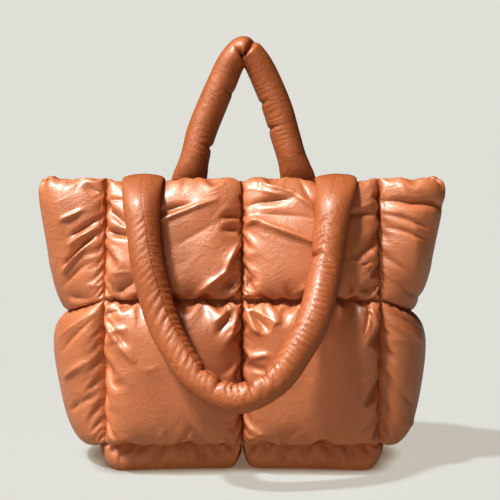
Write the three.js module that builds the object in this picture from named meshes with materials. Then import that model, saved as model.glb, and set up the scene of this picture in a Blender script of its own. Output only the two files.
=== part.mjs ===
// A quilted puffer tote bag that stands open on its base: five padded panels sewn along
// their edges round a hollow, and two padded tube handles sewn inside the mouth.
// Millimetres, +Z up, the front faces -Y. The origin is the middle of the footprint, on the floor.
import * as THREE from "three";

// Driving sizes
const HALF_WIDTH = 150; // from the middle to a side seam
const SEAM_THICKNESS = 3; // cover, lining and thread pressed together along a seam
const PIECE_GAP = 0.8; // between pieces that are sewn edge to edge
const INNER_BULGE = 6; // how far the padding swells into the bag
const BACK_SLUMP = 8; // the back edge of the mouth sits this much lower

// Mesh fineness
const CELL_STEPS = 9; // grid steps across a quilted cell, closer together near its seams
const TUBE_SIDES = 12;
const TUBE_STEPS = 3; // steps from one row of a handle's route to the next
const SLOPE_STEP = 0.01; // cells, for the direction that a surface faces

// Seams that run round the bag, from the base up. reach is how far the fold in the middle of a
// side panel stands out past the side seams, drop how far it hangs below them, sweep how far it
// lies in front of the bag's middle, and mitre the share of sideways in the direction along
// which a side seam is pressed flat.
const SEAM_ROWS = [
  { seam: "base", z: 32.5, halfDepth: 75, reachLeft: 14, reachRight: 12, drop: 15, sweep: 0, mitre: 1 },
  { seam: "waist", z: 191, halfDepth: 74, reachLeft: 43, reachRight: 35, drop: 19, sweep: 6, mitre: 0.6 },
  { seam: "mouth", z: 323, halfDepth: 40, reachLeft: 73, reachRight: 73, drop: 0, sweep: 24, mitre: 0.25 },
];

// How far each row of cells swells outwards
const CELL_ROWS = [
  { row: "lower", frontBulge: 31, sideBulge: 32 },
  { row: "upper", frontBulge: 26, sideBulge: 16 },
];
const BASE_BULGE = 52; // the floor presses most of this flat
const BASE_SPREAD = 8; // how far the pressed base swells out past its seams
const BASE_SPREAD_POWER = 9; // odd, and higher keeps that swelling closer to the seams

// The shape of a cell across, from seam to seam
const FULL_FLATNESS = 2.4; // higher keeps more of the middle at full height
const EDGE_STEEPNESS = 0.6; // lower makes it rise more steeply from its seams

// Places where the front of the mouth is pressed down
const MOUTH_DENTS = [
  { by: "left leg of the handle", x: -109, depth: 12, halfWidth: 27 },
  { by: "seam", x: 0, depth: 6, halfWidth: 9 },
  { by: "right leg of the handle", x: 103, depth: 12, halfWidth: 27 },
];

// Main folds, each a furrow between two points of a panel. Points count cells along from the
// panel's left end (u) and up from its lowest seam (v).
const FOLDS = [
  { panel: "front", u0: 0.97, v0: 1.5, u1: 0.66, v1: 1.08, halfWidth: 9, depth: 8 },
  { panel: "front", u0: 0.34, v0: 1.6, u1: 0.8, v1: 1.8, halfWidth: 8, depth: 6 },
  { panel: "front", u0: 1.06, v0: 1.7, u1: 1.52, v1: 1.76, halfWidth: 8, depth: 7 },
  { panel: "front", u0: 1.08, v0: 1.36, u1: 1.5, v1: 1.5, halfWidth: 9, depth: 4 },
  { panel: "front", u0: 0.03, v0: 0.9, u1: 0.3, v1: 0.6, halfWidth: 8, depth: 6 },
  { panel: "front", u0: 1.02, v0: 0.98, u1: 1.2, v1: 0.78, halfWidth: 8, depth: 8 },
  { panel: "front", u0: 0.98, v0: 0.98, u1: 0.85, v1: 0.7, halfWidth: 8, depth: 7 },
  { panel: "back", u0: 1.03, v0: 1.45, u1: 1.4, v1: 1.12, halfWidth: 9, depth: 7 },
  { panel: "back", u0: 0.2, v0: 1.66, u1: 0.72, v1: 1.74, halfWidth: 8, depth: 6 },
  { panel: "back", u0: 0.97, v0: 0.95, u1: 0.7, v1: 0.65, halfWidth: 9, depth: 7 },
  { panel: "left", u0: 0.62, v0: 1.3, u1: 0.97, v1: 1.56, halfWidth: 8, depth: 6 },
  { panel: "left", u0: 0.68, v0: 0.72, u1: 0.97, v1: 0.94, halfWidth: 8, depth: 6 },
  { panel: "right", u0: 0.03, v0: 1.8, u1: 0.5, v1: 1.8, halfWidth: 8, depth: 7 },
  { panel: "right", u0: 0.04, v0: 0.9, u1: 0.4, v1: 0.82, halfWidth: 8, depth: 6 },
];

// Handle routes from one sewn end to the other. width lies along the panel and thickness
// across it, so the ends are pressed flat and the rest is nearly round.
const FRONT_HANDLE = [
  { x: -109, y: -30, z: 279, width: 46, thickness: 8 },
  { x: -109, y: -27, z: 305, width: 46, thickness: 10 },
  { x: -109, y: -40, z: 322, width: 46, thickness: 10 },
  { x: -109, y: -64, z: 319, width: 45, thickness: 13 },
  { x: -108, y: -87, z: 298, width: 40, thickness: 24 },
  { x: -105, y: -98, z: 270, width: 36, thickness: 29 },
  { x: -100, y: -109, z: 235, width: 35, thickness: 31 },
  { x: -86, y: -120, z: 185, width: 35, thickness: 33 },
  { x: -69, y: -134, z: 151, width: 33, thickness: 33 },
  { x: -44, y: -148, z: 119, width: 31, thickness: 33 },
  { x: -5, y: -156, z: 102, width: 32, thickness: 34 },
  { x: 34, y: -154, z: 119, width: 31, thickness: 33 },
  { x: 58, y: -149, z: 151, width: 33, thickness: 33 },
  { x: 76, y: -137, z: 185, width: 35, thickness: 33 },
  { x: 89, y: -110, z: 235, width: 35, thickness: 31 },
  { x: 94, y: -98, z: 270, width: 36, thickness: 29 },
  { x: 98, y: -87, z: 298, width: 40, thickness: 24 },
  { x: 103, y: -64, z: 319, width: 45, thickness: 13 },
  { x: 103, y: -40, z: 322, width: 46, thickness: 10 },
  { x: 103, y: -27, z: 305, width: 46, thickness: 10 },
  { x: 103, y: -30, z: 279, width: 46, thickness: 8 },
];
const BACK_HANDLE = [
  { x: -80, y: 38, z: 257, width: 50, thickness: 8 },
  { x: -71, y: 30, z: 285, width: 48, thickness: 12 },
  { x: -61, y: 18, z: 323, width: 40, thickness: 24 },
  { x: -55, y: 20, z: 347, width: 34, thickness: 35 },
  { x: -48, y: 23, z: 374, width: 34, thickness: 36 },
  { x: -37, y: 25, z: 402, width: 34, thickness: 36 },
  { x: -23, y: 26, z: 434, width: 33, thickness: 36 },
  { x: -12, y: 26, z: 457, width: 31, thickness: 38 },
  { x: 2, y: 26, z: 470, width: 30, thickness: 40 },
  { x: 16, y: 26, z: 457, width: 31, thickness: 38 },
  { x: 28, y: 26, z: 434, width: 33, thickness: 36 },
  { x: 41, y: 25, z: 402, width: 34, thickness: 36 },
  { x: 49, y: 23, z: 374, width: 34, thickness: 36 },
  { x: 57, y: 20, z: 347, width: 34, thickness: 35 },
  { x: 64, y: 18, z: 323, width: 40, thickness: 24 },
  { x: 74, y: 30, z: 285, width: 48, thickness: 12 },
  { x: 83, y: 38, z: 257, width: 50, thickness: 8 },
];

// Faux leather, one colour for the quilting and a slightly darker one for the handles
const SHELL = new THREE.MeshStandardMaterial({ color: 0xb86f49, roughness: 0.36, metalness: 0 });
const STRAP = new THREE.MeshStandardMaterial({ color: 0xb06a45, roughness: 0.42, metalness: 0 });

const { lerp, clamp } = THREE.MathUtils;
const DOWN = new THREE.Vector3(0, 0, -1);

// A named value of the seam rows at v, counted in cells up from the base seam
function alongRows(column, v) {
  const below = clamp(Math.floor(v), 0, SEAM_ROWS.length - 2);
  return lerp(SEAM_ROWS[below][column], SEAM_ROWS[below + 1][column], v - below);
}

// How far the front of the mouth is pressed down at x
function mouthDent(x) {
  return MOUTH_DENTS.reduce((sum, d) => sum + d.depth * Math.exp(-(((x - d.x) / d.halfWidth) ** 2)), 0);
}

// The surface through a panel's seams, before it is padded
function frontFrame(u, v) {
  const x = HALF_WIDTH * (u - 1);
  const topShare = Math.max(0, v - 1) ** 2;
  return new THREE.Vector3(x, -alongRows("halfDepth", v), alongRows("z", v) - topShare * mouthDent(x));
}

function backFrame(u, v) {
  const topShare = Math.max(0, v - 1);
  return new THREE.Vector3(
    HALF_WIDTH * (1 - u),
    alongRows("halfDepth", v),
    alongRows("z", v) - topShare * BACK_SLUMP,
  );
}

// A side panel runs from its back seam to its front seam on the left (side -1), and from its
// front seam to its back seam on the right (side 1), so that u always goes left to right as seen.
function sideFrame(side) {
  const reach = side < 0 ? "reachLeft" : "reachRight";
  return (u, v) => {
    const across = side * (2 * u - 1);
    const fold = 1 - across * across;
    const slump = Math.max(0, v - 1) * Math.max(0, across) * BACK_SLUMP;
    return new THREE.Vector3(
      side * (HALF_WIDTH + alongRows(reach, v) * fold),
      across * alongRows("halfDepth", v) - alongRows("sweep", v) * fold,
      alongRows("z", v) - alongRows("drop", v) * fold - slump,
    );
  };
}

// The base, seen from below: u goes left to right and v from the back seam to the front seam
function baseFrame(u, v) {
  const { z, halfDepth, drop, reachLeft, reachRight } = SEAM_ROWS[0];
  const along = u - 1;
  const across = 1 - 2 * v;
  const fold = (1 - across * across) * Math.abs(along) ** 3;
  const reach = along < 0 ? reachLeft : reachRight;
  return new THREE.Vector3(
    HALF_WIDTH * along + Math.sign(along) * reach * fold,
    across * halfDepth,
    z - drop * fold,
  );
}

// The direction along which the layers are pressed flat at a point of an edge seam. It depends
// on the point alone, so two panels that meet there end in faces that match.
function pressDirection(point, v) {
  const { z } = SEAM_ROWS[0];
  const sideways = clamp((Math.abs(point.x) - HALF_WIDTH) / PIECE_GAP + 2, 0, 1);
  const facing = point.y / alongRows("halfDepth", v);
  const low = clamp((z + PIECE_GAP - point.z) / PIECE_GAP + 1, 0, 1);
  return new THREE.Vector3(
    Math.sign(point.x) * sideways * alongRows("mitre", v),
    facing * Math.abs(facing) ** 3,
    -low,
  ).normalize();
}

// The outward direction of a frame surface
function faceDirection(frame, u, v) {
  const right = frame(u + SLOPE_STEP, v).sub(frame(u - SLOPE_STEP, v));
  const up = frame(u, v + SLOPE_STEP).sub(frame(u, v - SLOPE_STEP));
  return right.cross(up).normalize();
}

// How full a cell is at a share of the way across it: 0 on its seams, 1 in the middle
function fullness(share) {
  return (1 - Math.abs(2 * share - 1) ** FULL_FLATNESS) ** EDGE_STEEPNESS;
}

// How deep the folds of a panel are at (u, v), on cells of about the given size
function foldDepth(panel, u, v, cellSize) {
  const here = new THREE.Vector2(u, v).multiplyScalar(cellSize);
  let sum = 0;
  for (const fold of FOLDS.filter((row) => row.panel === panel)) {
    const start = new THREE.Vector2(fold.u0, fold.v0).multiplyScalar(cellSize);
    const end = new THREE.Vector2(fold.u1, fold.v1).multiplyScalar(cellSize);
    const run = end.clone().sub(start);
    const along = clamp(here.clone().sub(start).dot(run) / run.lengthSq(), 0, 1);
    const away = here.distanceTo(start.addScaledVector(run, along));
    sum += fold.depth * Math.exp(-((away / fold.halfWidth) ** 2));
  }
  return sum;
}

// Grid places along a line of cells, closer together near the seams
function cellPlaces(cells) {
  const places = [0];
  for (let cell = 0; cell < cells; cell++)
    for (let i = 1; i <= CELL_STEPS; i++)
      places.push(cell + (1 - Math.cos((Math.PI * i) / CELL_STEPS)) / 2);
  return places;
}

// A closed body between two grids of points that share their rim
function bodyBetween(outer, inner) {
  const rows = outer.length;
  const columns = outer[0].length;
  const points = [...outer.flat(), ...inner.flat()];
  const top = (i, j) => i * columns + j;
  const under = (i, j) => rows * columns + top(i, j);
  const index = [];
  const quad = (a, b, c, d) => index.push(a, b, c, a, c, d);
  for (let i = 0; i + 1 < rows; i++)
    for (let j = 0; j + 1 < columns; j++) {
      quad(top(i, j), top(i, j + 1), top(i + 1, j + 1), top(i + 1, j));
      quad(under(i, j), under(i + 1, j), under(i + 1, j + 1), under(i, j + 1));
    }
  for (let j = 0; j + 1 < columns; j++) {
    quad(top(0, j), under(0, j), under(0, j + 1), top(0, j + 1));
    quad(top(rows - 1, j + 1), under(rows - 1, j + 1), under(rows - 1, j), top(rows - 1, j));
  }
  for (let i = 0; i + 1 < rows; i++) {
    quad(top(i + 1, 0), under(i + 1, 0), under(i, 0), top(i, 0));
    quad(top(i, columns - 1), under(i, columns - 1), under(i + 1, columns - 1), top(i + 1, columns - 1));
  }
  return new THREE.BufferGeometry().setFromPoints(points).setIndex(index);
}

// A quilted panel: the padding swells outwards by bulge(row) and a little inwards in each cell
function quiltedPanel({ panel, frame, columns, rows, bulge, cellSize, press }) {
  const inset = PIECE_GAP / 2 / cellSize;
  const within = (place, count) => clamp(place, inset, count - inset);
  const outer = [];
  const inner = [];
  for (const placeV of cellPlaces(rows)) {
    outer.push([]);
    inner.push([]);
    for (const placeU of cellPlaces(columns)) {
      const u = within(placeU, columns);
      const v = within(placeV, rows);
      const row = Math.min(Math.floor(placeV), rows - 1);
      const full = fullness(placeU % 1) * fullness(placeV % 1);
      const onEdge = placeU === 0 || placeU === columns || placeV === 0 || placeV === rows;
      const point = frame(u, v);
      const out = onEdge ? press(point, u, v) : faceDirection(frame, u, v);
      const fold = panel ? foldDepth(panel, u, v, cellSize) : 0;
      const swell = SEAM_THICKNESS / 2 + full * Math.max(0, bulge(row) - fold);
      outer.at(-1).push(point.clone().addScaledVector(out, swell));
      inner.at(-1).push(point.clone().addScaledVector(out, -SEAM_THICKNESS / 2 - full * INNER_BULGE));
    }
  }
  return { outer, inner };
}

// An upright panel of two rows of cells. Its mouth seam is pressed flat across the wall.
function uprightPanel(panel, frame, columns, column) {
  const press = (point, u, v) => pressDirection(point, v);
  const { outer, inner } = quiltedPanel({
    panel,
    frame,
    columns,
    rows: CELL_ROWS.length,
    bulge: (row) => CELL_ROWS[row][column],
    cellSize: HALF_WIDTH,
    press,
  });
  return bodyBetween(outer, inner);
}

// The base swells down until the floor presses it flat, and a little past its seams
function basePanel() {
  const { outer, inner } = quiltedPanel({
    frame: baseFrame,
    columns: 2,
    rows: 1,
    bulge: () => BASE_BULGE,
    cellSize: HALF_WIDTH,
    press: (point) => pressDirection(point, 0),
  });
  const { z: seamHeight, halfDepth } = SEAM_ROWS[0];
  const insideTheSeams = outer.slice(1, -1).flatMap((row) => row.slice(1, -1));
  for (const point of insideTheSeams) {
    const clearOfFloor = clamp(point.z / seamHeight, 0, 1);
    const spread = BASE_SPREAD * Math.sin(Math.PI * clearOfFloor);
    const endShare = clamp(point.x / HALF_WIDTH, -1, 1) ** BASE_SPREAD_POWER;
    const edgeShare = clamp(point.y / halfDepth, -1, 1) ** BASE_SPREAD_POWER;
    point.x += spread * endShare * (1 - Math.abs(edgeShare));
    point.y += spread * edgeShare * (1 - Math.abs(endShare));
    point.z = Math.max(point.z, 0);
  }
  return bodyBetween(outer, inner);
}

// A padded tube along a route, with an oval section that follows the route's width and thickness
function handle(route) {
  const curve = new THREE.CatmullRomCurve3(route.map(({ x, y, z }) => new THREE.Vector3(x, y, z)));
  const steps = (route.length - 1) * TUBE_STEPS;
  const across = new THREE.Vector3(1, 0, 0);
  const rings = [];
  for (let i = 0; i <= steps; i++) {
    const row = Math.min(Math.floor(i / TUBE_STEPS), route.length - 2);
    const share = i / TUBE_STEPS - row;
    const width = lerp(route[row].width, route[row + 1].width, share);
    const thickness = lerp(route[row].thickness, route[row + 1].thickness, share);
    const tangent = curve.getTangent(i / steps);
    across.addScaledVector(tangent, -across.dot(tangent)).normalize();
    const through = tangent.clone().cross(across);
    const ring = [];
    for (let side = 0; side < TUBE_SIDES; side++) {
      const angle = (2 * Math.PI * side) / TUBE_SIDES;
      ring.push(
        curve
          .getPoint(i / steps)
          .addScaledVector(across, (width / 2) * Math.cos(angle))
          .addScaledVector(through, (thickness / 2) * Math.sin(angle)),
      );
    }
    rings.push(ring);
  }
  return closedTube(rings);
}

// Rings of points joined into a tube with a flat fan at each end
function closedTube(rings) {
  const sides = rings[0].length;
  const last = rings.length - 1;
  const index = [];
  for (let i = 0; i < last; i++)
    for (let side = 0; side < sides; side++) {
      const next = (side + 1) % sides;
      const a = i * sides;
      const b = a + sides;
      index.push(a + side, a + next, b + next, a + side, b + next, b + side);
    }
  for (let side = 1; side + 1 < sides; side++) {
    index.push(0, side + 1, side);
    index.push(last * sides, last * sides + side, last * sides + side + 1);
  }
  return new THREE.BufferGeometry().setFromPoints(rings.flat()).setIndex(index);
}

function piece(name, geometry, material) {
  const mesh = new THREE.Mesh(geometry, material);
  mesh.name = name;
  return mesh;
}

const shell = new THREE.Group().add(
  piece("front_panel", uprightPanel("front", frontFrame, 2, "frontBulge"), SHELL),
  piece("back_panel", uprightPanel("back", backFrame, 2, "frontBulge"), SHELL),
  piece("side_panel_left", uprightPanel("left", sideFrame(-1), 1, "sideBulge"), SHELL),
  piece("side_panel_right", uprightPanel("right", sideFrame(1), 1, "sideBulge"), SHELL),
  piece("base_panel", basePanel(), SHELL),
);
const handles = new THREE.Group().add(
  piece("front_handle", handle(FRONT_HANDLE), STRAP),
  piece("back_handle", handle(BACK_HANDLE), STRAP),
);

// Moves the middle of the footprint to the origin
const bag = new THREE.Group().add(shell, handles);
const middle = new THREE.Box3().setFromObject(bag).getCenter(new THREE.Vector3());
shell.position.set(-middle.x, -middle.y, 0);
handles.position.copy(shell.position);

export default bag;
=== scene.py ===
"""A caramel faux leather puffer tote on a pale floor.

The quilted panels and the tube handles are sheets of cloth that settle over their padding. Sizes are in
millimetres, in the sewing frame: x to the right, y to the back, z up, from the middle of the base.
"""

import math
from concurrent.futures import ThreadPoolExecutor

import bpy
import numpy as np
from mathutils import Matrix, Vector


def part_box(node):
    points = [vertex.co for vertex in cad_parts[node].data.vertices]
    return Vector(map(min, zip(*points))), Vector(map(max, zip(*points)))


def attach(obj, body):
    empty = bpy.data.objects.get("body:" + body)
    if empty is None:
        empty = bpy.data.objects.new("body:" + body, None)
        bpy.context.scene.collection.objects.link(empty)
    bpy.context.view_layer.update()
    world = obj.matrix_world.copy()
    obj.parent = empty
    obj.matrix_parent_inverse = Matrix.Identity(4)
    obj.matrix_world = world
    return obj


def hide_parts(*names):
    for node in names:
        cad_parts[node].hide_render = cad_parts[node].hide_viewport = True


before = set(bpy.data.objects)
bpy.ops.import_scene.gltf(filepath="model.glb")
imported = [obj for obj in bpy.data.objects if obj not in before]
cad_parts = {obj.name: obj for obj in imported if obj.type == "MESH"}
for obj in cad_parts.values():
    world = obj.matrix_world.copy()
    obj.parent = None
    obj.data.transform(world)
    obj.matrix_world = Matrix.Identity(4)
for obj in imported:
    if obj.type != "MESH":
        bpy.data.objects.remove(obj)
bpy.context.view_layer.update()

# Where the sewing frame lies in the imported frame, in metres
FRONT_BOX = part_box("front_panel")
BACK_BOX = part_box("back_panel")
SEWING_ORIGIN = np.array(
    [(FRONT_BOX[0][0] + FRONT_BOX[1][0]) / 2, (FRONT_BOX[0][1] + BACK_BOX[1][1]) / 2, 0.0]
)
MILLIMETRE = 0.001

# Seams that run round the bag: base, waist and mouth, as in the CAD
HALF_WIDTH = 150.0
SEAM_ROWS = {
    "z": (32.5, 191.0, 323.0),
    "half_depth": (75.0, 74.0, 40.0),
    "reach_left": (14.0, 43.0, 73.0),
    "reach_right": (12.0, 35.0, 73.0),
    "drop": (15.0, 19.0, 0.0),
    "sweep": (0.0, 6.0, 24.0),
    "mitre": (1.0, 0.6, 0.25),
}
BACK_SLUMP = 8.0
SEAM_THICKNESS = 3.0
PIECE_GAP = 0.8
INNER_BULGE = 6.0

# Waves of the mouth's edge on the sides: waves to a panel, height, phase
HEM_WAVES = ((1.3, 2.2, 0.6), (2.9, 1.5, 2.0), (5.3, 1.3, 4.1), (9.1, 0.8, 1.0))

# Places where the front of the mouth is pressed down: x, depth, half width
MOUTH_DENTS = ((-109.0, 12.0, 27.0), (0.0, 6.0, 9.0), (103.0, 12.0, 27.0))

# Powers that set how soon a shape dies away from where it is strongest
HEM_ENDS = 0.5
HEM_FADE = 3
DENT_FADE = 2
END_FOLD = 3
CORNER_TURN = 3
BASE_SQUARENESS = 9

# Handle routes: x, y, z, width, thickness
FRONT_ROUTE = (
    (-109, -30, 279, 46, 8),
    (-109, -27, 305, 46, 10),
    (-109, -40, 322, 46, 10),
    (-109, -64, 319, 45, 13),
    (-108, -87, 298, 40, 24),
    (-105, -98, 270, 36, 29),
    (-100, -109, 235, 35, 31),
    (-86, -120, 185, 35, 33),
    (-69, -134, 151, 33, 33),
    (-44, -148, 119, 31, 33),
    (-5, -156, 102, 32, 34),
    (34, -154, 119, 31, 33),
    (58, -149, 151, 33, 33),
    (76, -137, 185, 35, 33),
    (89, -110, 235, 35, 31),
    (94, -98, 270, 36, 29),
    (98, -87, 298, 40, 24),
    (103, -64, 319, 45, 13),
    (103, -40, 322, 46, 10),
    (103, -27, 305, 46, 10),
    (103, -30, 279, 46, 8),
)
BACK_ROUTE = (
    (-80, 38, 257, 50, 8),
    (-71, 30, 285, 48, 12),
    (-61, 18, 323, 40, 24),
    (-55, 20, 347, 34, 35),
    (-48, 23, 374, 34, 36),
    (-37, 25, 402, 34, 36),
    (-23, 26, 434, 33, 36),
    (-12, 26, 457, 31, 38),
    (2, 26, 470, 30, 40),
    (16, 26, 457, 31, 38),
    (28, 26, 434, 33, 36),
    (41, 25, 402, 34, 36),
    (49, 23, 374, 34, 36),
    (57, 20, 347, 34, 35),
    (64, 18, 323, 40, 24),
    (74, 30, 285, 48, 12),
    (83, 38, 257, 50, 8),
)

# Folds of the cloth: panel, from (u, v) to (u, v), half width, depth. Points count cells from the panel's
# left end, seen from outside, and up from its lowest seam, or on the base from its back seam.
# A fold with a negative depth is a ridge.
FOLDS = (
    # dents under the legs of the hanging handle
    ("front", 0.28, 1.95, 0.36, 1.20, 13, 4),
    ("front", 1.69, 1.95, 1.57, 1.20, 13, 4),
    # upper left cell of the front
    ("front", 0.03, 1.73, 0.16, 1.62, 4, 9),
    ("front", 0.04, 1.55, 0.17, 1.53, 4, 8),
    ("front", 0.38, 1.70, 0.62, 1.75, 5, 7),
    ("front", 0.38, 1.63, 0.80, 1.79, 4, -6),
    ("front", 0.86, 1.66, 0.98, 1.68, 4, 10),
    ("front", 0.87, 1.56, 0.98, 1.57, 4, 10),
    ("front", 0.98, 1.50, 0.87, 1.22, 4, -8),
    ("front", 0.87, 1.22, 0.68, 1.06, 4, -8),
    ("front", 0.86, 1.12, 0.97, 1.18, 7, 12),
    ("front", 0.50, 1.42, 0.82, 1.62, 8, 4),
    ("front", 0.46, 1.24, 0.66, 1.36, 8, 3),
    ("front", 0.03, 1.04, 0.24, 1.16, 7, 12),
    # upper right cell
    ("front", 1.07, 1.95, 1.36, 1.86, 4, -6),
    ("front", 1.36, 1.86, 1.52, 1.74, 4, -6),
    ("front", 1.05, 1.89, 1.38, 1.80, 4, -4),
    ("front", 1.06, 1.75, 1.37, 1.81, 5, 8),
    ("front", 1.08, 1.64, 1.52, 1.46, 4, -7),
    ("front", 1.10, 1.68, 1.50, 1.66, 6, 4),
    ("front", 1.03, 1.10, 1.08, 1.18, 5, 12),
    ("front", 1.78, 1.71, 1.98, 1.69, 4, 9),
    ("front", 1.80, 1.90, 1.90, 1.97, 5, -5),
    ("front", 1.85, 1.36, 1.99, 1.50, 6, 8),
    ("front", 1.97, 1.05, 1.84, 1.12, 6, 10),
    # lower left cell
    ("front", 0.01, 0.85, 0.23, 0.62, 4, -6),
    ("front", 0.02, 0.90, 0.16, 0.74, 4, 6),
    ("front", 0.24, 0.54, 0.44, 0.60, 6, -3),
    ("front", 0.95, 0.98, 0.80, 0.88, 4, -7),
    ("front", 0.97, 0.95, 0.90, 0.75, 4, -7),
    ("front", 0.93, 0.93, 0.82, 0.80, 4, 7),
    ("front", 0.99, 0.80, 0.90, 0.55, 6, 5),
    ("front", 0.70, 0.03, 0.62, 0.20, 7, 5),
    ("front", 0.02, 0.96, 0.12, 0.86, 5, 7),
    # lower right cell
    ("front", 1.02, 0.99, 1.11, 0.82, 4, -8),
    ("front", 1.04, 0.97, 1.26, 0.88, 4, -7),
    ("front", 1.06, 0.94, 1.18, 0.84, 4, 8),
    ("front", 1.27, 0.92, 1.20, 0.80, 4, -4),
    ("front", 1.93, 0.95, 1.98, 0.82, 4, -6),
    ("front", 1.90, 0.97, 1.94, 0.80, 4, 7),
    ("front", 1.45, 0.16, 1.20, 0.04, 5, 4),
    # back
    ("back", 1.03, 1.45, 1.40, 1.12, 6, 7),
    ("back", 1.05, 1.40, 1.45, 1.05, 5, -5),
    ("back", 0.20, 1.66, 0.72, 1.74, 5, 6),
    ("back", 0.25, 1.58, 0.80, 1.66, 5, -5),
    ("back", 0.97, 0.95, 0.70, 0.65, 5, -7),
    ("back", 0.99, 0.99, 0.80, 0.85, 5, 7),
    ("back", 1.02, 0.98, 1.22, 0.80, 5, -7),
    ("back", 1.60, 1.90, 1.95, 1.60, 6, 6),
    # left side
    ("left", 0.78, 1.31, 0.96, 1.49, 2.5, -7),
    ("left", 0.79, 1.36, 0.97, 1.54, 2.5, 8),
    ("left", 0.84, 1.50, 0.97, 1.59, 2.5, -6),
    ("left", 0.86, 1.57, 0.98, 1.66, 2.5, 8),
    ("left", 0.80, 1.70, 0.90, 1.74, 2.5, -6),
    ("left", 0.74, 1.20, 0.92, 1.32, 3, 4),
    ("left", 0.77, 1.95, 0.79, 1.60, 7, -4),
    ("left", 0.88, 1.98, 0.97, 1.86, 4, 9),
    ("left", 0.97, 1.03, 0.78, 1.12, 5, 8),
    ("left", 0.72, 0.91, 0.98, 0.97, 4, 6),
    ("left", 0.74, 0.84, 0.98, 0.94, 4, -5),
    ("left", 0.78, 0.74, 0.98, 0.90, 4, 5),
    ("left", 0.80, 0.55, 0.97, 0.60, 4, -6),
    ("left", 0.80, 0.30, 0.98, 0.36, 4, 6),
    ("left", 0.10, 1.55, 0.50, 1.30, 6, 6),
    ("left", 0.50, 1.50, 0.50, 2.00, 12, 13),
    # right side
    ("right", 0.02, 1.80, 0.38, 1.83, 4, 11),
    ("right", 0.04, 1.92, 0.30, 1.92, 6, -3),
    ("right", 0.03, 1.70, 0.24, 1.66, 3, 5),
    ("right", 0.03, 1.60, 0.22, 1.57, 3, 5),
    ("right", 0.16, 1.70, 0.18, 1.22, 14, -10),
    ("right", 0.10, 1.16, 0.50, 1.12, 5, 6),
    ("right", 0.04, 0.93, 0.34, 0.88, 4, 6),
    ("right", 0.04, 0.86, 0.30, 0.80, 4, -4),
    ("right", 0.03, 0.40, 0.24, 0.32, 5, 5),
    ("right", 0.03, 0.14, 0.30, 0.20, 5, -5),
    ("right", 0.50, 1.50, 0.50, 2.00, 12, 13),
    ("right", 0.02, 1.62, 0.02, 1.12, 6, 12),
    # base
    ("base", 0.68, 0.99, 0.86, 0.80, 4, 7),
    ("base", 0.38, 0.97, 0.28, 0.85, 4, 6),
    ("base", 1.30, 0.97, 1.40, 0.85, 4, 6),
    ("base", 1.80, 0.97, 1.88, 0.85, 4, 6),
)
FOLD_FADE = 0.5
FOLD_SHARPNESS = 1.5

# Gathers along the seams, in cells and millimetres
GATHERS = 12
GATHER_STEP = 1 / GATHERS
GATHER_REACH = (0.05, 0.20)
GATHER_SLANT = 0.06
GATHER_HALF = (1.8, 3.6)
GATHER_RARITY = 3  # odd, and higher leaves fewer deep ones

# Links between points of the cloth: rows down, columns right, strength. They are the threads, the slants
# and the stiffness against bending.
LINKS = (
    (0, 1, 0.9),
    (1, 0, 0.9),
    (1, 1, 0.4),
    (1, -1, 0.4),
    (0, 2, 0.3),
    (2, 0, 0.3),
    (0, 4, 0.15),
    (4, 0, 0.15),
)
PUSH = 0.02  # of the spacing, in each round
SAG = 0.1  # of the push
SOFTNESS = 10.0  # how far the cloth is from full where the padding pushes hardest
GLIDE = 0.85  # speed kept from round to round
SWEEPS = 4  # passes over the links in a round
ROUGHEN = 0.05  # of the spacing, before each level

# Least lengths to divide by
SMALLEST = 1e-9
SHORTEST = 1e-6


def stacked(x, y, z):
    return np.stack(np.broadcast_arrays(x, y, z), axis=-1).astype(float)


def unit(vectors):
    return vectors / np.maximum(np.linalg.norm(vectors, axis=-1, keepdims=True), SMALLEST)


def cross(a, b):
    return np.stack(
        (
            a[..., 1] * b[..., 2] - a[..., 2] * b[..., 1],
            a[..., 2] * b[..., 0] - a[..., 0] * b[..., 2],
            a[..., 0] * b[..., 1] - a[..., 1] * b[..., 0],
        ),
        axis=-1,
    )


def dot(a, b):
    return (a * b).sum(axis=-1)


# The surfaces through the seams of the panels, before they are padded


def along_rows(column, v):
    return np.interp(v, (0, 1, 2), SEAM_ROWS[column])


def above_waist(v):
    """0 up to the waist seam and 1 at the mouth."""
    return np.clip(v - 1, 0, 1)


def hem(share, v, shift):
    """How far the mouth's edge rises and falls along a panel."""
    waves = sum(high * np.sin(2 * np.pi * count * share + phase + shift) for count, high, phase in HEM_WAVES)
    return waves * np.sin(np.pi * share) ** HEM_ENDS * above_waist(v) ** HEM_FADE


def front_frame(u, v):
    x = HALF_WIDTH * (u - 1)
    dent = sum(depth * np.exp(-(((x - place) / half) ** 2)) for place, depth, half in MOUTH_DENTS)
    z = along_rows("z", v) - above_waist(v) ** DENT_FADE * dent
    return stacked(x, -along_rows("half_depth", v), z)


def back_frame(u, v):
    slump = above_waist(v) * BACK_SLUMP
    return stacked(HALF_WIDTH * (1 - u), along_rows("half_depth", v), along_rows("z", v) - slump)


def side_frame(side):
    reach = "reach_left" if side < 0 else "reach_right"

    def place(u, v):
        across = side * (2 * u - 1)
        fold = 1 - across**2
        slump = above_waist(v) * np.clip(across, 0, 1) * BACK_SLUMP
        return stacked(
            side * (HALF_WIDTH + along_rows(reach, v) * fold),
            across * along_rows("half_depth", v) - along_rows("sweep", v) * fold,
            along_rows("z", v) - along_rows("drop", v) * fold - slump + hem(u, v, side),
        )

    return place


def base_frame(u, v):
    along = u - 1
    across = 1 - 2 * v
    fold = (1 - across**2) * np.abs(along) ** END_FOLD
    reach = np.where(along < 0, SEAM_ROWS["reach_left"][0], SEAM_ROWS["reach_right"][0])
    return stacked(
        HALF_WIDTH * along + np.sign(along) * reach * fold,
        across * SEAM_ROWS["half_depth"][0],
        SEAM_ROWS["z"][0] - SEAM_ROWS["drop"][0] * fold,
    )


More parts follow.
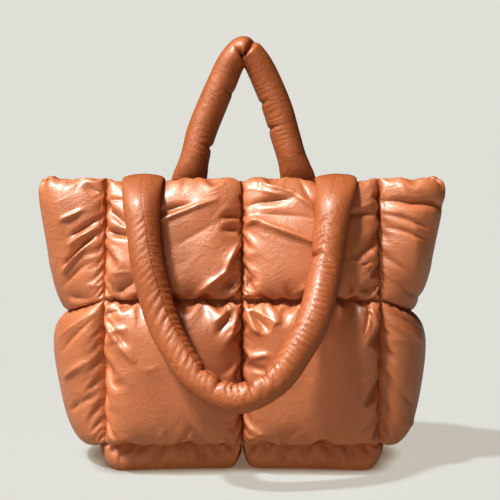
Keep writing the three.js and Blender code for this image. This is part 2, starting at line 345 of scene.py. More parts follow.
def press_direction(points, v):
    """The way in which the layers are pressed flat at a point of an edge seam."""
    sideways = np.clip((np.abs(points[..., 0]) - HALF_WIDTH) / PIECE_GAP + 2, 0, 1)
    facing = points[..., 1] / along_rows("half_depth", v)
    low = np.clip((SEAM_ROWS["z"][0] + PIECE_GAP - points[..., 2]) / PIECE_GAP + 1, 0, 1)
    return unit(
        stacked(
            np.sign(points[..., 0]) * sideways * along_rows("mitre", v),
            facing * np.abs(facing) ** CORNER_TURN,
            -low,
        )
    )


def gathers(panel, seed):
    """Short folds that run off the seams of a panel, as rows of the table of folds."""
    dice = np.random.default_rng(seed)
    columns, rows = panel["cells"]
    for upright, seams, runs in ((True, columns, rows), (False, rows, columns)):
        for seam in range(seams + 1):
            for side in (-1, 1):
                if not 0 <= seam + side / 2 <= seams:
                    continue
                for place in np.arange(0, runs, GATHER_STEP) + dice.uniform(0, GATHER_STEP, runs * GATHERS):
                    reach = side * dice.uniform(*GATHER_REACH)
                    slant = dice.normal(0, GATHER_SLANT)
                    start = (seam, place) if upright else (place, seam)
                    end = (seam + reach, place + slant) if upright else (place + slant, seam + reach)
                    half = dice.uniform(*GATHER_HALF)
                    depth = dice.uniform(-1, 1) ** GATHER_RARITY * panel["gather_depth"]
                    yield (*start, *end, half, depth)


def fold_depth(panel, u, v):
    here = np.stack((u, v), axis=-1) * HALF_WIDTH
    total = np.zeros(u.shape)
    rows = [row[1:] for row in FOLDS if row[0] == panel["key"]]
    for u0, v0, u1, v1, half, depth in rows + list(gathers(panel, len(rows))):
        start = np.array((u0, v0)) * HALF_WIDTH
        run = np.array((u1, v1)) * HALF_WIDTH - start
        share = np.clip(((here - start) @ run) / (run @ run), 0, 1)
        away = np.linalg.norm(here - start - share[..., None] * run, axis=-1)
        fade = 1 - FOLD_FADE * (2 * share - 1) ** 2
        total += depth * fade * np.exp(-((away / half) ** FOLD_SHARPNESS))
    return total


# Cloth on a grid of points


class Sheet:
    """Cloth points in rows and columns, held at some points and pushed out by padding under the rest."""

    def __init__(self, target, wide, tall, held, base, out, height, closed):
        self.held = held
        self.base = base
        self.out = out
        self.height = height
        self.target = target
        self.walls = []
        self.closed = closed
        self.free = (~held).astype(np.float32)[..., None]
        self.spacing = float(np.linalg.norm(np.diff(target, axis=0), axis=-1).mean())
        self.links = self.join(wide, tall)

    def join(self, wide, tall):
        """Pairs of points a set length apart, in batches in which no point comes twice.

        wide and tall are how much longer than its target the cloth is, across and along, at each point.
        """
        rows, columns = self.held.shape
        number = np.arange(rows * columns).reshape(rows, columns)
        loose = self.free.ravel()
        places = self.target.reshape(-1, 3)
        links = []
        for down, right, strength in LINKS:
            if self.closed:
                second = np.roll(number, -right, axis=1)[down:]
                first = number[: rows - down]
            else:
                second = number[down:, max(right, 0) : columns + min(right, 0)]
                first = number[: rows - down, max(-right, 0) : columns - max(right, 0)]
            gap = np.linalg.norm(places[second] - places[first], axis=-1)
            length = np.hypot(right, down)
            extra_wide = (wide.ravel()[first] + wide.ravel()[second]) / 2
            extra_tall = (tall.ravel()[first] + tall.ravel()[second]) / 2
            rest = gap * np.hypot(extra_wide * right / length, extra_tall * down / length)
            axis, stride = (0, down) if down else (1, right)
            colour = np.indices(first.shape)[axis] // stride % 2
            for wanted in (0, 1):
                chosen = colour == wanted
                a = first[chosen]
                b = second[chosen]
                total = np.maximum(loose[a] + loose[b], 1)
                share_a = (strength * loose[a] / total).astype(np.float32)
                share_b = (strength * loose[b] / total).astype(np.float32)
                kept = rest[chosen].astype(np.float32)
                links.append((a, b, kept, share_a[:, None], share_b[:, None]))
        return links

    def facing(self, points):
        along = np.gradient(points, axis=0)
        if self.closed:
            across = np.roll(points, -1, axis=1) - np.roll(points, 1, axis=1)
        else:
            across = np.gradient(points, axis=1)
        return unit(cross(across, along))

    def settle(self, points, rounds):
        points = points.astype(np.float32)
        shape = points.shape
        before = points.copy()
        strength = PUSH * self.spacing
        for _ in range(rounds):
            drift = (points - before) * GLIDE
            before = points.copy()
            want = self.height - dot(points - self.base, self.out)
            push = np.clip(want / SOFTNESS, -1, 1) * strength
            drift += self.facing(points) * push[..., None]
            drift[..., 2] -= SAG * strength
            points = points + drift * self.free
            flat = points.reshape(-1, 3)
            for _ in range(SWEEPS):
                for a, b, rest, share_a, share_b in self.links:
                    gap = flat[b] - flat[a]
                    length = np.sqrt(np.einsum("ij,ij->i", gap, gap))
                    pull = gap * (1 - rest / np.maximum(length, SHORTEST))[:, None]
                    flat[a] += pull * share_a
                    flat[b] -= pull * share_b
            points = flat.reshape(shape)
            for point, inward, least in self.walls:
                short = np.clip(least - dot(points - point, inward), 0, None)
                points = points + inward * (short[..., None] * self.free)
        return points


def finer(points, closed):
    """The same cloth with a new point between each two."""
    rows = np.empty((2 * points.shape[0] - 1, *points.shape[1:]))
    rows[::2] = points
    rows[1::2] = (points[:-1] + points[1:]) / 2
    if closed:
        both = np.empty((rows.shape[0], 2 * rows.shape[1], 3))
        both[:, ::2] = rows
        both[:, 1::2] = (rows + np.roll(rows, -1, axis=1)) / 2
        return both
    both = np.empty((rows.shape[0], 2 * rows.shape[1] - 1, 3))
    both[:, ::2] = rows
    both[:, 1::2] = (rows[:, :-1] + rows[:, 1:]) / 2
    return both


def settled(make_sheet, piece, levels, seed):
    """Settles a piece's cloth on ever finer grids. Each level is a grid and its rounds."""
    dice = np.random.default_rng(seed)
    points = None
    for *grid, rounds in levels:
        sheet = make_sheet(piece, *grid)
        points = sheet.target.copy() if points is None else finer(points, sheet.closed)
        points += dice.normal(0, ROUGHEN * sheet.spacing, points.shape)
        points[sheet.held] = sheet.target[sheet.held]
        points = sheet.settle(points, rounds)
    return sheet, points


# Quilted panels


PANELS = (
    {
        "node": "front_panel",
        "key": "front",
        "frame": front_frame,
        "cells": (2, 2),
        "bulge": (31, 26),
        "top_rise": 5.0,
        "gather_depth": 6.0,
        "fullness": 1.015,
        "gather_slack": 0.10,
    },
    {
        "node": "back_panel",
        "key": "back",
        "frame": back_frame,
        "cells": (2, 2),
        "bulge": (31, 26),
        "top_rise": 5.0,
        "gather_depth": 6.0,
        "fullness": 1.015,
        "gather_slack": 0.10,
    },
    {
        "node": "side_panel_left",
        "key": "left",
        "frame": side_frame(-1),
        "cells": (1, 2),
        "bulge": (32, 16),
        "top_rise": 0.5,
        "gather_depth": 4.0,
        "fullness": 1.0,
        "gather_slack": 0.04,
    },
    {
        "node": "side_panel_right",
        "key": "right",
        "frame": side_frame(1),
        "cells": (1, 2),
        "bulge": (32, 16),
        "top_rise": 0.5,
        "gather_depth": 4.0,
        "fullness": 1.0,
        "gather_slack": 0.04,
    },
    {
        "node": "base_panel",
        "key": "base",
        "frame": base_frame,
        "cells": (2, 1),
        "bulge": (52,),
        "top_rise": -PIECE_GAP / 2,
        "gather_depth": 3.0,
        "fullness": 1.005,
        "gather_slack": 0.05,
    },
)
PANEL_LEVELS = ((24, 150), (48, 100), (96, 50))  # steps to a cell, rounds
BASE_FLATNESS = 8.0
BASE_STEEPNESS = 1.0
LIFT = 3.0
CELL_FLATNESS = 3.4
CELL_STEEPNESS = 0.42
CROWDING = 0.7
BASE_SPREAD = 6.0
END_SPREAD = 0.4


def cell_places(cells, steps):
    """Grid lines along a row of cells, closer together near the seams."""
    share = np.arange(cells * steps + 1) / steps
    inside = share % 1
    crowded = (1 - np.cos(np.pi * inside)) / 2
    return np.floor(share) + inside + (crowded - inside) * CROWDING


def humps(places, flatness, steepness):
    """How full a cell is across: 0 on its seams, 1 in the middle."""
    return (1 - np.abs(2 * (places % 1) - 1) ** flatness) ** steepness


def panel_sheet(panel, steps):
    columns, rows = panel["cells"]
    inset = PIECE_GAP / 2 / HALF_WIDTH
    line_u = cell_places(columns, steps)
    line_v = cell_places(rows, steps)
    u, v = np.meshgrid(np.clip(line_u, inset, columns - inset), np.clip(line_v, inset, rows - inset))
    base = panel["frame"](u, v)
    out = unit(cross(np.gradient(base, axis=1), np.gradient(base, axis=0)))
    edge = np.zeros(u.shape, bool)
    edge[[0, -1]] = True
    edge[:, [0, -1]] = True
    level = v if rows == 2 else np.zeros(u.shape)
    out[edge] = press_direction(base, level)[edge]
    seam_u = np.arange(len(line_u)) % steps == 0
    seam_v = np.arange(len(line_v)) % steps == 0
    held = seam_v[:, None] | seam_u[None, :]
    shape = (CELL_FLATNESS, CELL_STEEPNESS) if rows == 2 else (BASE_FLATNESS, BASE_STEEPNESS)
    full_u = humps(line_u, *shape)
    full_v = humps(line_v, *shape)
    row = np.minimum(line_v.astype(int), rows - 1)
    bulge = np.array(panel["bulge"], float)[row][:, None]
    folds = fold_depth(panel, u, v)
    if rows == 1:
        height = SEAM_THICKNESS / 2 + full_v[:, None] * full_u * bulge
        target = pressed_flat(base + out * height[..., None], edge, folds)
    else:
        height = SEAM_THICKNESS / 2 + full_v[:, None] * full_u * (bulge - folds)
        target = base + out * height[..., None]
    slack = panel["gather_slack"]
    wide = np.broadcast_to(panel["fullness"] + slack * (1 - full_v)[:, None], u.shape)
    tall = np.broadcast_to(panel["fullness"] + slack * (1 - full_u)[None, :], u.shape)
    sheet = Sheet(target, wide, tall, held, base, out, height + LIFT * ~held, False)
    sheet.walls = seam_walls(base, out, steps, panel["top_rise"])
    if rows == 1:
        up = np.broadcast_to(np.array((0.0, 0.0, 1.0)), base.shape)
        sheet.walls.append((np.zeros(base.shape), up, 0.0))
    sheet.full = full_v[:, None] * full_u
    sheet.uv = np.stack((u, v), axis=-1) * HALF_WIDTH
    return sheet


def pressed_flat(points, edge, folds):
    """The base, pressed flat by the floor and swelling out past its seams."""
    clear = np.clip(points[..., 2] / SEAM_ROWS["z"][0], 0, 1)
    swell = np.sin(np.pi * clear)
    spread = np.where(edge, 0, BASE_SPREAD * (swell + (1 - clear) / 2) - folds * swell)
    end = np.clip(points[..., 0] / HALF_WIDTH, -1, 1) ** BASE_SQUARENESS
    side = np.clip(points[..., 1] / SEAM_ROWS["half_depth"][0], -1, 1) ** BASE_SQUARENESS
    return stacked(
        points[..., 0] + spread * end * (1 - np.abs(side)) * END_SPREAD,
        points[..., 1] + spread * side * (1 - np.abs(end)),
        np.maximum(points[..., 2], 0),
    )


def seam_walls(base, out, steps, top_rise):
    """Planes through the seams on the four sides of each point's cell, which the padding presses against.

    The cloth may rise above the panel's top seam by top_rise.
    """
    rows, columns = base.shape[:2]
    along_u = unit(np.gradient(base, axis=1))
    along_v = unit(np.gradient(base, axis=0))
    cell_u = np.minimum(np.arange(columns) // steps, (columns - 1) // steps - 1)
    cell_v = np.minimum(np.arange(rows) // steps, (rows - 1) // steps - 1)
    walls = []
    for side, sign in ((0, 1), (1, -1)):
        at = (cell_u + side) * steps
        inward = unit(cross(out[:, at], along_v[:, at]))
        inward *= np.sign(dot(inward, along_u[:, at]))[..., None] * sign
        walls.append((base[:, at], inward, PIECE_GAP / 2))
    for side, sign in ((0, 1), (1, -1)):
        at = (cell_v + side) * steps
        inward = unit(cross(out[at], along_u[at]))
        inward *= np.sign(dot(inward, along_v[at]))[..., None] * sign
        least = np.where(at == rows - 1, -top_rise, PIECE_GAP / 2)[:, None]
        walls.append((base[at], inward, least))
    return walls


def lining(sheet):
    """The inner skin of a panel, which bulges less than the outer one."""
    return sheet.base - sheet.out * (SEAM_THICKNESS / 2 + sheet.full * INNER_BULGE)[..., None]


# Handles


ROUTE_STEPS = 60


def smooth_route(route, count):
    """Points, widths and thicknesses at even distances along a curve through the rows of a route."""
    rows = np.array(route, float)
    ends = np.concatenate((2 * rows[:1] - rows[1:2], rows, 2 * rows[-1:] - rows[-2:-1]))
    t = np.linspace(0, len(rows) - 1, ROUTE_STEPS * len(rows))
    cell = np.minimum(t.astype(int), len(rows) - 2)
    s = (t - cell)[:, None]
    p0, p1, p2, p3 = (ends[cell + i] for i in range(4))
    dense = p1 + s / 2 * (p2 - p0 + s * (2 * p0 - 5 * p1 + 4 * p2 - p3 + s * (3 * (p1 - p2) + p3 - p0)))
    length = np.concatenate(((0,), np.cumsum(np.linalg.norm(np.diff(dense[:, :3], axis=0), axis=1))))
    places = np.linspace(0, length[-1], count)
    return np.stack([np.interp(places, length, dense[:, i]) for i in range(5)], axis=1)


HANDLES = (
    {
        "node": "front_handle",
        "route": FRONT_ROUTE,
        "seam_share": (0.0, 0.12, 0.2, 0.3, 0.5, 0.58, 0.65, 0.775, 0.9, 1.0),
        "seam_turn": (90, 90, 77, 70, 50, 65, 88, 72, 80, 80),
    },
    {"node": "back_handle", "route": BACK_ROUTE, "seam_share": (0.0, 1.0), "seam_turn": (100, 100)},
)

# Puckers across a handle: node, from and to shares of its length, middle and half angle, spacing, depth.
# Angles turn from the inner side of the loop, to the front on the front handle and to the back on the other.
PUCKERS = (
    ("front_handle", 0.10, 0.27, 45, 30, 4.0, 0.5),
    ("front_handle", 0.26, 0.31, 25, 34, 8.0, 1.0),
    ("front_handle", 0.30, 0.45, 22, 34, 7.5, 0.9),
    ("front_handle", 0.45, 0.55, 25, 44, 7.0, 0.9),
    ("front_handle", 0.58, 0.77, 114, 30, 5.6, 1.0),
    ("back_handle", 0.20, 0.30, -50, 60, 7.0, 0.25),
    ("back_handle", 0.34, 0.46, -50, 60, 6.0, 0.2),
    ("back_handle", 0.54, 0.78, -50, 60, 6.0, 0.2),
    ("back_handle", 0.10, 0.16, -90, 80, 6.0, 0.8),
    ("back_handle", 0.84, 0.90, -90, 80, 6.0, 0.8),
)

# Sharp kinks: node, share of the length, angle, half length, half angle, depth
KINKS = (
    ("front_handle", 0.432, 20, 3.5, 45, 5),
    ("front_handle", 0.466, 30, 3.0, 50, 5),
    ("front_handle", 0.524, 35, 3.0, 50, 5),
    ("front_handle", 0.552, 20, 3.5, 50, 5),
    ("front_handle", 0.765, 20, 3.0, 45, 4),
    ("back_handle", 0.235, -10, 3.0, 50, 3),
    ("back_handle", 0.385, -25, 2.5, 35, 2),
    ("back_handle", 0.484, -40, 3.5, 60, 9),
    ("back_handle", 0.510, -90, 2.0, 95, 9),
    ("back_handle", 0.645, -15, 2.5, 45, 2.5),
    ("back_handle", 0.715, -20, 2.5, 50, 2.5),
)
TUBE_LEVELS = ((80, 12, 120), (160, 24, 100), (320, 48, 60), (640, 96, 8))  # rings, sides, rounds
PUCKER_END = 0.02
PUCKER_WANDER = 0.5
PUCKER_BEATS = (1.7, 0.9)
PUCKER_PHASE = 1
TUBE_FULL_AROUND = 1.01
TUBE_FULL_ALONG = 1.005
TUBE_SLACK = 0.15
TUBE_LIFT = 1.0
TUBE_SEAM_DEPTH = 0.985
TUBE_GIRTH = 108.0


def degrees_off(angle, middle):
    """How far angles in radians are from a middle in degrees, the short way round."""
    return np.degrees(np.angle(np.exp(1j * (angle - math.radians(middle)))))


def tube_dents(node, share, angle, path):
    """How deep the puckers and kinks of a handle are at each point of its skin."""
    length = np.linalg.norm(np.diff(path[:, :3], axis=0), axis=1).sum()
    place = (share * length)[:, None]
    total = np.zeros(angle.shape)
    for name, start, end, middle, half_angle, spacing, depth in PUCKERS:
        if name != node:
            continue
        away = degrees_off(angle, middle)
        ends = np.clip((share - start) / PUCKER_END, 0, 1) * np.clip((end - share) / PUCKER_END, 0, 1)
        window = ends[:, None] * np.exp(-((away / half_angle) ** 2))
        fast, slow = (place / spacing * beat for beat in PUCKER_BEATS)
        wander = np.sin(fast + PUCKER_PHASE) + np.sin(slow + away / half_angle)
        groove = 1 - np.abs(np.sin(np.pi * (place / spacing) + PUCKER_WANDER * wander))
        total += depth * window * groove
    for name, where, middle, half_length, half_angle, depth in KINKS:
        if name != node:
            continue
        away = degrees_off(angle, middle)
        along = np.abs(place - where * length) / half_length
        total += depth * np.exp(-(along**FOLD_SHARPNESS) - (away / half_angle) ** 2)
    return total


def tube_sheet(handle, rings, sides):
    path = smooth_route(handle["route"], rings + 1)
    centre = path[:, :3]
    tangent = unit(np.gradient(centre, axis=0))
    across = np.empty_like(centre)
    across[0] = (1, 0, 0)
    for i in range(rings + 1):
        guess = across[max(i - 1, 0)]
        across[i] = unit(guess - tangent[i] * dot(guess, tangent[i]))
    through = cross(tangent, across)
    share = np.linspace(0, 1, rings + 1)
    turn = np.radians(np.interp(share, handle["seam_share"], handle["seam_turn"]))
    angle = turn[:, None] + np.linspace(0, 2 * np.pi, sides, endpoint=False)[None, :]
    out = across[:, None] * np.cos(angle)[..., None] + through[:, None] * np.sin(angle)[..., None]
    wide = path[:, 3][:, None] / 2
    thick = path[:, 4][:, None] / 2
    height = wide * thick / np.hypot(thick * np.cos(angle), wide * np.sin(angle))
    height -= tube_dents(handle["node"], share, angle, path)
    base = np.broadcast_to(centre[:, None], out.shape).copy()
    held = np.zeros(angle.shape, bool)
    held[[0, -1]] = True
    held[:, 0] = True
    depth = np.ones(angle.shape)
    depth[:, 0] = TUBE_SEAM_DEPTH
    skin = base + out * (height * depth)[..., None]
    spine = np.linalg.norm(np.gradient(centre, axis=0), axis=-1)[:, None]
    local = np.linalg.norm(np.gradient(skin, axis=0), axis=-1)
    tall = TUBE_FULL_ALONG * (1 + (np.clip(spine / local, 1, None) - 1) * TUBE_SLACK)
    wide = np.full(angle.shape, TUBE_FULL_AROUND)
    return Sheet(skin, wide, tall, held, base, out, height + TUBE_LIFT, True)


# Meshes


def mesh_piece(name, points, faces, places, material):
    """A piece from points and faces, with the place of each face corner on the flat cloth as its map."""
    mesh = bpy.data.meshes.new(name)
    where = points.reshape(-1, 3) * MILLIMETRE + SEWING_ORIGIN
    mesh.from_pydata(where.tolist(), [], faces)
    cloth_map = mesh.uv_layers.new(name="cloth")
    cloth_map.data.foreach_set("uv", (places * MILLIMETRE).astype(np.float32).ravel())
    mesh.update()
    mesh.shade_smooth()
    mesh.materials.append(material)
    piece = bpy.data.objects.new(name, mesh)
    bpy.context.scene.collection.objects.link(piece)
    return piece


def panel_faces(rows, columns):
    number = np.arange(rows * columns).reshape(rows, columns)
    under = number + rows * columns
    outer = np.stack((number[:-1, :-1], number[:-1, 1:], number[1:, 1:], number[1:, :-1]), axis=-1)
    inner = np.stack((under[:-1, :-1], under[1:, :-1], under[1:, 1:], under[:-1, 1:]), axis=-1)
    rim = np.concatenate((number[0, :-1], number[:-1, -1], number[-1, :0:-1], number[:0:-1, 0]))
    after = np.roll(rim, -1)
    edge = np.stack((rim, rim + rows * columns, after + rows * columns, after), axis=-1)
    return np.concatenate((outer.reshape(-1, 4), inner.reshape(-1, 4), edge))


def tube_faces(rings, sides):
    number = np.arange(rings * sides).reshape(rings, sides)
    after = np.roll(number, -1, axis=1)
    quads = np.stack((number[:-1], after[:-1], after[1:], number[1:]), axis=-1).reshape(-1, 4).tolist()
    return quads + [number[0, ::-1].tolist(), number[-1].tolist()]


def tube_places(rings, sides, length):
    """Distances round a tube from its seam and along it, at the corners of its faces."""
    turn = (np.arange(sides + 1) - sides // 2) * (TUBE_GIRTH / sides)
    turn = np.roll(turn[:-1], -(sides // 2))
    next_turn = turn + TUBE_GIRTH / sides
    far = np.linspace(0, length, rings)
    left, low = np.broadcast_arrays(turn, far[:-1, None])
    right, high = np.broadcast_arrays(next_turn, far[1:, None])
    corners = ((left, low), (right, low), (right, high), (left, high))
    skin = np.stack([np.stack(corner, axis=-1) for corner in corners], axis=2).reshape(-1, 2)
    first = np.stack((turn[::-1], np.zeros(sides)), axis=-1)
    last = np.stack((turn, np.full(sides, length)), axis=-1)
    return np.concatenate((skin, first, last))


# Materials, with lengths in metres


LEATHERS = {
    "quilted_shell": {
        "pale": (0.56, 0.203, 0.083),
        "deep": (0.50, 0.177, 0.070),
        "specular": 0.8,
        "coat": 0.30,
    },
    "padded_handle": {
        "pale": (0.45, 0.150, 0.053),
        "deep": (0.395, 0.128, 0.045),
        "specular": 0.5,
        "coat": 0.12,
    },
}
COAT_ROUGHNESS = 0.22
ROUGHNESS = (0.44, 0.60)
TEXTURES = {
    "clouds": ("ShaderNodeTexNoise", {"Scale": 22, "Detail": 3}),
    "creases": ("ShaderNodeTexNoise", {"Scale": 150, "Detail": 6, "Roughness": 0.68, "Distortion": 1.5}),
    "grain": ("ShaderNodeTexVoronoi", {"Scale": 800}),
    "folds": ("ShaderNodeTexNoise", {"Scale": 42, "Detail": 3, "Roughness": 0.55, "Distortion": 1.2}),
}
NOISE_LOW = 0.3
NOISE_MIDDLE = 0.5
NOISE_HIGH = 0.7

# How sharp the skin's hollows and ridges are, and the brightness there: painted shade darkens the hollows,
# and wear makes the ridges paler
HOLLOW_SHADE = (0.40, (0.66, 0.66, 0.66))
RIDGE = (0.62, (1.15, 1.15, 1.15))

PEBBLES = {"Strength": 0.4, "Distance": 0.0005}
CRINKLES = {"Strength": 0.2, "Distance": 0.0018}
CRUMPLES = {"Strength": 0.34, "Distance": 0.008}

# Stitches along a handle's seam, in millimetres
STITCH_WIDTH = 1.1
STITCH_STEP = 3.8
STITCH_LENGTH = 2.0
THREAD = (0.09, 0.025, 0.011, 1)


def feed(tree, socket, value):
    """Links another node's output to a socket, or sets the socket to a plain value."""
    if isinstance(value, bpy.types.NodeSocket):
        tree.links.new(value, socket)
    else:
        socket.default_value = value


def add(tree, kind, **inputs):
    node = tree.nodes.new(kind)
    for name, value in inputs.items():
        feed(tree, node.inputs[name], value)
    return node


def calculated(tree, operation, *values):
    """The result of a named operation on plain numbers and other nodes' outputs."""
    node = tree.nodes.new("ShaderNodeMath")
    node.operation = operation
    for socket, value in zip(node.inputs, values):
        feed(tree, socket, value)
    return node.outputs[0]


def ramp(tree, value, low, high):
    """A colour that runs between two stops, each a place and a colour."""
    node = add(tree, "ShaderNodeValToRGB", Fac=value)
    for stop, (place, colour) in zip(node.color_ramp.elements, (low, high)):
        stop.position = place
        stop.color = (*colour, 1)
    return node.outputs["Color"]


def blend(tree, kind, factor, first, second):
    """Two colours blended."""
    node = tree.nodes.new("ShaderNodeMix")
    node.data_type = "RGBA"
    node.blend_type = kind
    feed(tree, node.inputs["Factor"], factor)
    feed(tree, node.inputs["A"], first)
    feed(tree, node.inputs["B"], second)
    return node.outputs["Result"]


def leather(name):
    """Satin faux leather: pebbled grain, fine creases, uneven colour and gloss, worn paler on its ridges,
    painted shade in its hollows.
    """
    look = LEATHERS[name]
    material = bpy.data.materials.new(name)
    material.use_nodes = True
    tree = material.node_tree
    shader = tree.nodes["Principled BSDF"]
    shader.inputs["Specular IOR Level"].default_value = look["specular"]
    shader.inputs["Coat Weight"].default_value = look["coat"]
    shader.inputs["Coat Roughness"].default_value = COAT_ROUGHNESS
    cloth = tree.nodes.new("ShaderNodeUVMap")
    cloth.uv_map = "cloth"
    textures = {}
    for key, (kind, inputs) in TEXTURES.items():
        textures[key] = add(tree, kind, Vector=cloth.outputs["UV"], **inputs)
    clouds = textures["clouds"].outputs["Fac"]
    creases = textures["creases"].outputs["Fac"]
    grain = textures["grain"].outputs["Distance"]
    folds = textures["folds"].outputs["Fac"]

    tint = ramp(tree, clouds, (NOISE_LOW, look["deep"]), (NOISE_HIGH, look["pale"]))
    skin = tree.nodes.new("ShaderNodeNewGeometry")
    # The skin's pointiness paints shade into its hollows and makes its ridges paler as wear
    wear_and_hollow_shade = ramp(tree, skin.outputs["Pointiness"], HOLLOW_SHADE, RIDGE)
    feed(tree, shader.inputs["Base Color"], blend(tree, "MULTIPLY", 1, tint, wear_and_hollow_shade))

    gloss = add(tree, "ShaderNodeMapRange", Value=creases)
    gloss.inputs["From Min"].default_value = NOISE_LOW
    gloss.inputs["From Max"].default_value = NOISE_HIGH
    gloss.inputs["To Min"].default_value = ROUGHNESS[0]
    gloss.inputs["To Max"].default_value = ROUGHNESS[1]
    feed(tree, shader.inputs["Roughness"], gloss.outputs["Result"])

    valleys = calculated(tree, "ABSOLUTE", calculated(tree, "SUBTRACT", folds, NOISE_MIDDLE))
    patchy = calculated(tree, "MULTIPLY", valleys, clouds)
    pebbles = add(tree, "ShaderNodeBump", Height=grain, **PEBBLES)
    crinkles = add(tree, "ShaderNodeBump", Height=creases, Normal=pebbles.outputs["Normal"], **CRINKLES)
    crumples = add(tree, "ShaderNodeBump", Height=patchy, Normal=crinkles.outputs["Normal"], **CRUMPLES)
    feed(tree, shader.inputs["Normal"], crumples.outputs["Normal"])
    return material


def sew(material):
    """Adds a row of stitches along a handle's seam to its leather."""
    tree = material.node_tree
    shader = tree.nodes["Principled BSDF"]
    plain = shader.inputs["Base Color"].links[0].from_socket
    cloth = add(tree, "ShaderNodeSeparateXYZ", Vector=tree.nodes["UV Map"].outputs["UV"])
    aside = calculated(tree, "ABSOLUTE", cloth.outputs["X"])
    on_seam = calculated(tree, "LESS_THAN", aside, STITCH_WIDTH / 2 * MILLIMETRE)
    along = calculated(tree, "WRAP", cloth.outputs["Y"], STITCH_STEP * MILLIMETRE, 0)
    in_stitch = calculated(tree, "LESS_THAN", along, STITCH_LENGTH * MILLIMETRE)
    stitch = calculated(tree, "MULTIPLY", on_seam, in_stitch)
    feed(tree, shader.inputs["Base Color"], blend(tree, "MIX", stitch, plain, THREAD))


# Pieces


WORKERS = 4
SHELL = leather("quilted_shell")
STRAP = leather("padded_handle")
sew(STRAP)


def levels_now(levels):
    """The grids to settle on."""
    return levels


with ThreadPoolExecutor(max_workers=WORKERS) as pool:
    panel_jobs = [
        pool.submit(settled, panel_sheet, panel, levels_now(PANEL_LEVELS), seed)
        for seed, panel in enumerate(PANELS)
    ]
    tube_jobs = [
        pool.submit(settled, tube_sheet, handle, levels_now(TUBE_LEVELS), seed)
        for seed, handle in enumerate(HANDLES)
    ]

pieces = []
for panel, job in zip(PANELS, panel_jobs):
    sheet, points = job.result()
    both = np.concatenate((points.reshape(-1, 3), lining(sheet).reshape(-1, 3)))
    faces = panel_faces(*points.shape[:2])
    places = np.tile(sheet.uv.reshape(-1, 2), (2, 1))[faces.ravel()]
    piece = mesh_piece("quilted_" + panel["node"], both, faces.tolist(), places, SHELL)
    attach(piece, "root")
    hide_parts(panel["node"])
    pieces.append(piece)

for handle, job in zip(HANDLES, tube_jobs):
    sheet, points = job.result()
    rings, sides = points.shape[:2]
    places = tube_places(rings, sides, sheet.spacing * rings)
    piece = mesh_piece("padded_" + handle["node"], points, tube_faces(rings, sides), places, STRAP)
    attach(piece, "root")
    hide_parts(handle["node"])
    pieces.append(piece)

# Floor, light and camera, with lengths in metres


FLOOR_REACH = 40
FLOOR_COLOUR = (0.17, 0.20, 0.22, 1)
FLOOR_BOUNCE = 0.5

# The floor's own glow, darker and browner where the bag is near as a painted contact shadow: the reach, then
# how open a place is and its colour
CONTACT_REACH = 0.02
CONTACT_CLOSE = (0.3, (0.18, 0.125, 0.09))
CONTACT_CLEAR = (0.95, (0.418, 0.400, 0.352))

WALL_COLOUR = (0.543, 0.543, 0.511, 1)
ROOM_COLOUR = (1, 0.86, 0.78, 1)
ROOM_STRENGTH = 0.02

# Suns: name, turn to the right of the camera's side, rise above the floor, spread, energy, what is lit, and
# whether the light shows as matt shade and as gloss. The angles are in degrees.
SUNS = (
    ("floor_shadow", -66, 63.7, 3.5, 2.4, "ground", True, True),
    ("key", -48, 58, 8, 3.2, "bag", True, True),
    ("left_fill", -72, 42, 20, 1.25, "bag", True, True),
    ("front_fill", -5, 12, 20, 0.62, "bag", True, False),
    ("right_fill", 40, 30, 30, 0.06, "bag", True, False),
    ("floor_light", -15, -40, 40, 0.42, "bag", True, False),
    ("sheen", -42, 55, 18, 3.0, "bag", False, True),
)
FLOOR_LIGHT_COLOUR = (0.85, 0.95, 1.0)

# The camera's sensor and lens in millimetres, its place in the sewing frame and its tilt down in degrees
SENSOR_WIDTH = 36
LENS = 82.9
CAMERA_PLACE = np.array((8.7, -1325.0, 375.0))
CAMERA_TILT = 5.88

scene = bpy.context.scene
scene.view_settings.view_transform = "Standard"
scene.view_settings.look = "High Contrast"

floor_mesh = bpy.data.meshes.new("floor")
corners = [(FLOOR_REACH * x, FLOOR_REACH * y, 0) for x, y in ((-1, -1), (1, -1), (1, 1), (-1, 1))]
floor_mesh.from_pydata(corners, [], [(0, 1, 2, 3)])
floor = bpy.data.objects.new("floor", floor_mesh)
scene.collection.objects.link(floor)

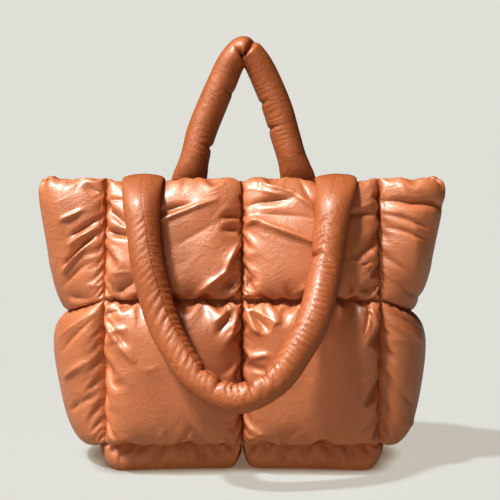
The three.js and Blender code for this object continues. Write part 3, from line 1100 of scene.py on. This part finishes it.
paper = bpy.data.materials.new("paper")
paper.use_nodes = True
tree = paper.node_tree
shader = tree.nodes["Principled BSDF"]
shader.inputs["Base Color"].default_value = FLOOR_COLOUR
shader.inputs["Roughness"].default_value = 1
shader.inputs["Specular IOR Level"].default_value = 0
# Painted contact shadow: the floor's glow turns darker and browner where the bag is near
nearby = add(tree, "ShaderNodeAmbientOcclusion", Distance=CONTACT_REACH)
contact = ramp(tree, nearby.outputs["AO"], CONTACT_CLOSE, CONTACT_CLEAR)
feed(tree, shader.inputs["Emission Color"], contact)
ray = tree.nodes.new("ShaderNodeLightPath")
glow = add(tree, "ShaderNodeMapRange", Value=ray.outputs["Is Camera Ray"])
glow.inputs["To Min"].default_value = FLOOR_BOUNCE
feed(tree, shader.inputs["Emission Strength"], glow.outputs["Result"])
floor_mesh.materials.append(paper)

world = bpy.data.worlds.new("room")
scene.world = world
world.use_nodes = True
tree = world.node_tree
wall = tree.nodes["Background"]
wall.inputs["Color"].default_value = WALL_COLOUR
room = add(tree, "ShaderNodeBackground", Color=ROOM_COLOUR, Strength=ROOM_STRENGTH)
ray = tree.nodes.new("ShaderNodeLightPath")
mix = add(tree, "ShaderNodeMixShader", Fac=ray.outputs["Is Camera Ray"])
feed(tree, mix.inputs[1], room.outputs[0])
feed(tree, mix.inputs[2], wall.outputs[0])
feed(tree, tree.nodes["World Output"].inputs["Surface"], mix.outputs[0])

groups = {}
for name, members in (("bag", pieces), ("ground", [floor])):
    groups[name] = bpy.data.collections.new(name)
    for member in members:
        groups[name].objects.link(member)

for name, turn, rise, spread, energy, lit, matt, glossy in SUNS:
    data = bpy.data.lights.new(name, "SUN")
    data.energy = energy
    data.angle = math.radians(spread)
    sun = bpy.data.objects.new(name, data)
    scene.collection.objects.link(sun)
    sun.rotation_euler = (math.radians(90 - rise), 0, math.radians(turn))
    sun.light_linking.receiver_collection = groups[lit]
    sun.visible_diffuse = matt
    sun.visible_glossy = glossy

# The light off the floor comes from below, so the floor itself doesn't block it
floor_light = bpy.data.objects["floor_light"]
floor_light.data.color = FLOOR_LIGHT_COLOUR
floor_light.light_linking.blocker_collection = groups["bag"]

camera_data = bpy.data.cameras.new("camera")
camera_data.sensor_width = SENSOR_WIDTH
camera_data.lens = LENS
camera = bpy.data.objects.new("camera", camera_data)
scene.collection.objects.link(camera)
camera.location = CAMERA_PLACE * MILLIMETRE + SEWING_ORIGIN
camera.rotation_euler = (math.radians(90 - CAMERA_TILT), 0, 0)
scene.camera = camera
